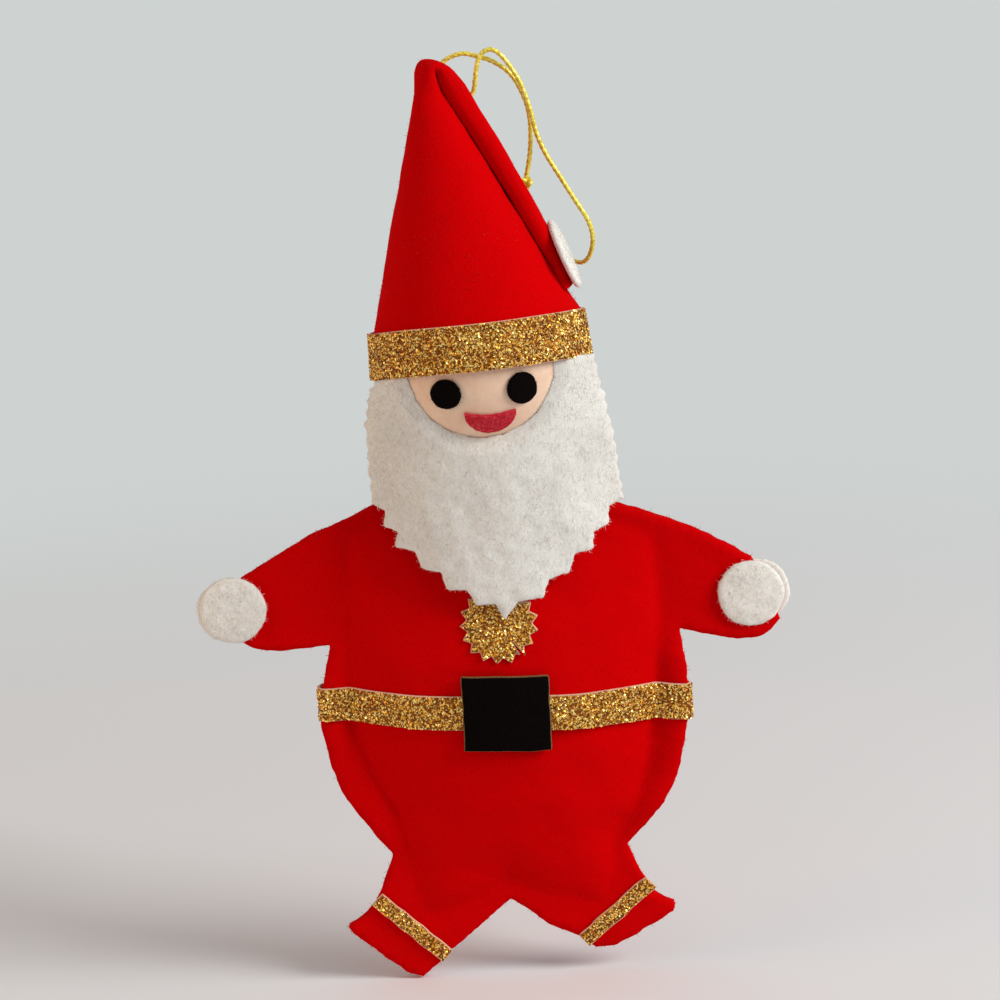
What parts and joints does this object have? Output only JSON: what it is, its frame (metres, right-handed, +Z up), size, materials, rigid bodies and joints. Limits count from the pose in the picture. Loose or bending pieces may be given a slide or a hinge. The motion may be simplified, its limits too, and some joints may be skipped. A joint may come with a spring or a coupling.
{
  "type": "felt christmas ornament",
  "caption": "Flat stuffed felt Father Christmas with a ball head, folded cone hat, pinked beard, glitter trims and a cord loop that swings on its tack to hang it up.",
  "frame": {"origin": "middle of the sewn tack behind the hat's tip, where the cord loop is held and the figure hangs", "axes": "+Z up from the soles to the hat's tip, +X to the viewer's right when looking at the face, the face looks along -Y"},
  "size_m": [0.119, 0.0448, 0.1888],
  "materials": {
    "red_felt": "pressed red craft felt, matt, short fibres",
    "white_felt": "white craft felt, matt, loose fibres",
    "black_felt": "black felt, matt",
    "mouth_felt": "rose red felt, matt",
    "gold_glitter": "gold glitter sheet, sparkling flakes",
    "gold_cord": "gold metallic cord, twisted",
    "skin_paint": "pressed paper ball with matt skin-coloured paint",
    "wadding": "white polyester wadding",
    "red_thread": "red sewing thread, several turns"
  },
  "bodies": {
    "figure": {"body_front": "red_felt", "body_back": "red_felt", "body_stuffing": "wadding", "head_ball": "skin_paint", "left_eye": "black_felt", "right_eye": "black_felt", "mouth": "mouth_felt", "beard": "white_felt", "hat": "red_felt", "hat_band": "gold_glitter", "hat_pompom": "white_felt", "medallion": "gold_glitter", "belt": "gold_glitter", "buckle": "black_felt", "left_hand_front": "white_felt", "left_hand_back": "white_felt", "right_hand_front": "white_felt", "right_hand_back": "white_felt", "left_boot_band": "gold_glitter", "right_boot_band": "gold_glitter", "cord_tack": "red_thread"},
    "loop": {"cord_short_strand": "gold_cord", "cord_long_strand": "gold_cord", "cord_knot": "gold_cord"}
  },
  "joints": [
    {"name": "loop_swing", "type": "hinge", "parent": "figure", "child": "loop", "pos_m": [0, 0, 0], "axis": [0, -1, 0], "range_deg": [0, 145]}
  ]
}
